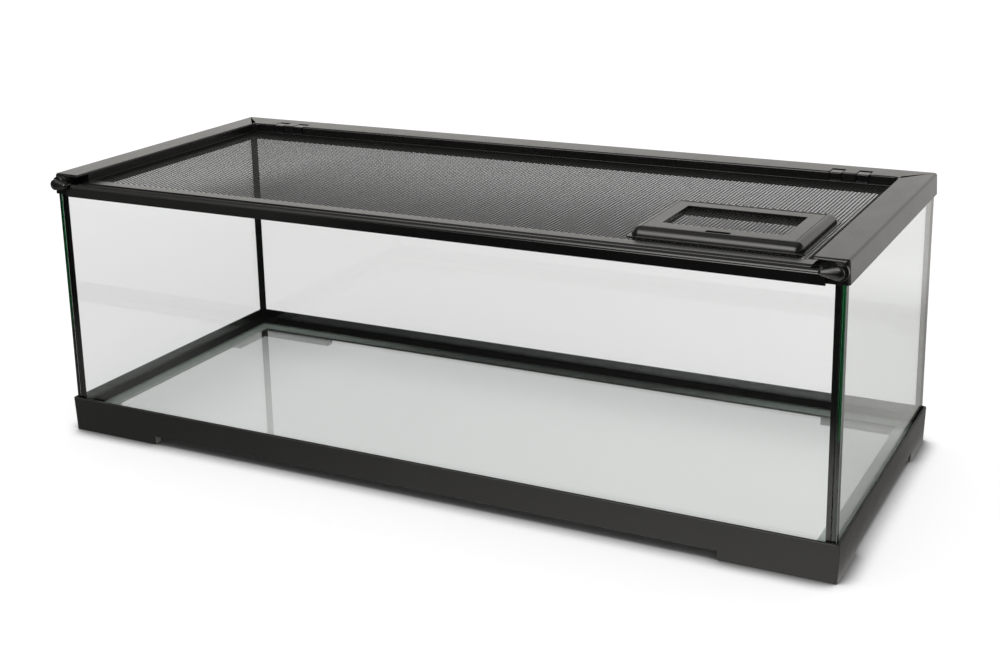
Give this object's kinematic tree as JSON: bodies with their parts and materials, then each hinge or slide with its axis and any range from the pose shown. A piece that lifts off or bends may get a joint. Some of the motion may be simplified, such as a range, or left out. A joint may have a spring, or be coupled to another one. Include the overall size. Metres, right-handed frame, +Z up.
{
  "type": "reptile terrarium",
  "caption": "Low rectangular glass terrarium on a footed black base, with a black top frame, a hinged perforated mesh lid held by turning latches, and a small feeding hatch in the lid.",
  "frame": {"origin": "on the floor, under the middle of the base frame", "axes": "+Z up, +X along the width to the viewer's right, -Y towards the front where the latches are"},
  "size_m": [0.914, 0.39, 0.311],
  "materials": {
    "frame_plastic": "satin black moulded plastic",
    "hatch_plastic": "satin black moulded plastic",
    "latch_plastic": "black moulded plastic",
    "glass": "clear float glass with green edges",
    "silicone": "black silicone",
    "mesh": "black powder coat on perforated sheet",
    "pins": "drawn steel",
    "screws": "blackened steel"
  },
  "bodies": {
    "tank": {"base_frame": "frame_plastic", "bottom_glass": "glass", "front_glass": "glass", "back_glass": "glass", "left_glass": "glass", "right_glass": "glass", "silicone_front_left": "silicone", "silicone_front_right": "silicone", "silicone_back_left": "silicone", "silicone_back_right": "silicone", "silicone_floor": "silicone", "top_frame": "frame_plastic"},
    "lid": {"lid_frame": "frame_plastic", "lid_mesh": "mesh", "hinge_pin_left": "pins", "hinge_pin_right": "pins", "hatch_bezel": "hatch_plastic", "hatch_backing_ring": "hatch_plastic", "hatch_screws": "screws", "hatch_hinge_pins": "pins"},
    "hatch_door": {"hatch_door": "hatch_plastic", "hatch_mesh": "mesh"},
    "latch_left": {"latch_lever_left": "latch_plastic", "latch_screw_left": "screws"},
    "latch_right": {"latch_lever_right": "latch_plastic", "latch_screw_right": "screws"}
  },
  "joints": [
    {"name": "lid_hinge", "type": "hinge", "parent": "tank", "child": "lid", "pos_m": [0, 0.1607, 0.305], "axis": [-1, 0, 0], "range_deg": [0, 95]},
    {"name": "hatch_hinge", "type": "hinge", "parent": "lid", "child": "hatch_door", "pos_m": [0.319, -0.0403, 0.3078], "axis": [-1, 0, 0], "range_deg": [0, 90]},
    {"name": "latch_left_pivot", "type": "hinge", "parent": "tank", "child": "latch_left", "pos_m": [-0.447, -0.196, 0.3], "axis": [0, -1, 0], "range_deg": [0, 90]},
    {"name": "latch_right_pivot", "type": "hinge", "parent": "tank", "child": "latch_right", "pos_m": [0.447, -0.196, 0.3], "axis": [0, 1, 0], "range_deg": [0, 90]}
  ]
}
